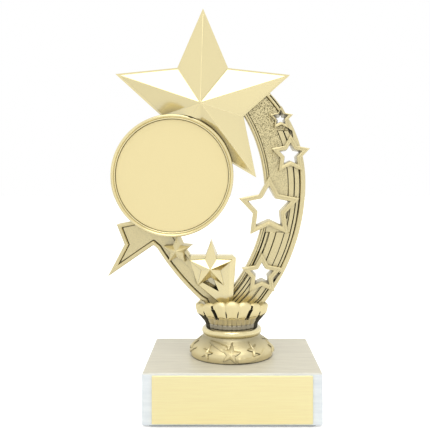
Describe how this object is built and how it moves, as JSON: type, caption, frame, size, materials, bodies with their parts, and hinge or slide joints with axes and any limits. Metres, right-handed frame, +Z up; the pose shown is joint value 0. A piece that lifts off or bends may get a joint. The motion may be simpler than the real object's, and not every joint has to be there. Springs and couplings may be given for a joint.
{
  "type": "star trophy",
  "caption": "Star trophy: a gold figure of a faceted star, round insert holder and crescent with open stars, rising from a fluted cup and bell foot on a rectangular marble base.",
  "frame": {"origin": "centre of the underside of the felt pad, on the surface that the trophy stands on, on the figure's vertical axis", "axes": "+Z up, -Y towards the viewer of the trophy's front, +X to that viewer's right"},
  "size_m": [0.0951, 0.0643, 0.1832],
  "materials": {
    "gold_figure": "vacuum-metallised champagne gold over moulded plastic, polished with grained fields",
    "zinc_steel": "bright zinc-plated steel",
    "marble": "pale polished marble",
    "felt": "dark green felt",
    "plate_gold": "satin gold-lacquered aluminium, finely brushed along its length",
    "tape": "white adhesive foam",
    "insert_gold": "matte pale gold foil on a stiff disc"
  },
  "bodies": {
    "root": {"foot": "gold_figure", "fluted_cup": "gold_figure", "crescent": "gold_figure", "open_star_small": "gold_figure", "open_star_upper": "gold_figure", "open_star_large": "gold_figure", "open_star_lower": "gold_figure", "ribbon_arm": "gold_figure", "ribbon_star": "gold_figure", "comet_star": "gold_figure", "star_back": "gold_figure", "star_front": "gold_figure", "insert_holder": "gold_figure", "threaded_rod": "zinc_steel", "captive_nut": "zinc_steel", "base_nut": "zinc_steel", "flat_washer": "zinc_steel", "lock_washer": "zinc_steel", "marble_base": "marble", "base_felt": "felt", "engraving_plate": "plate_gold", "plate_tape": "tape", "insert_tape": "tape", "insert_disc": "insert_gold"}
  },
  "joints": []
}
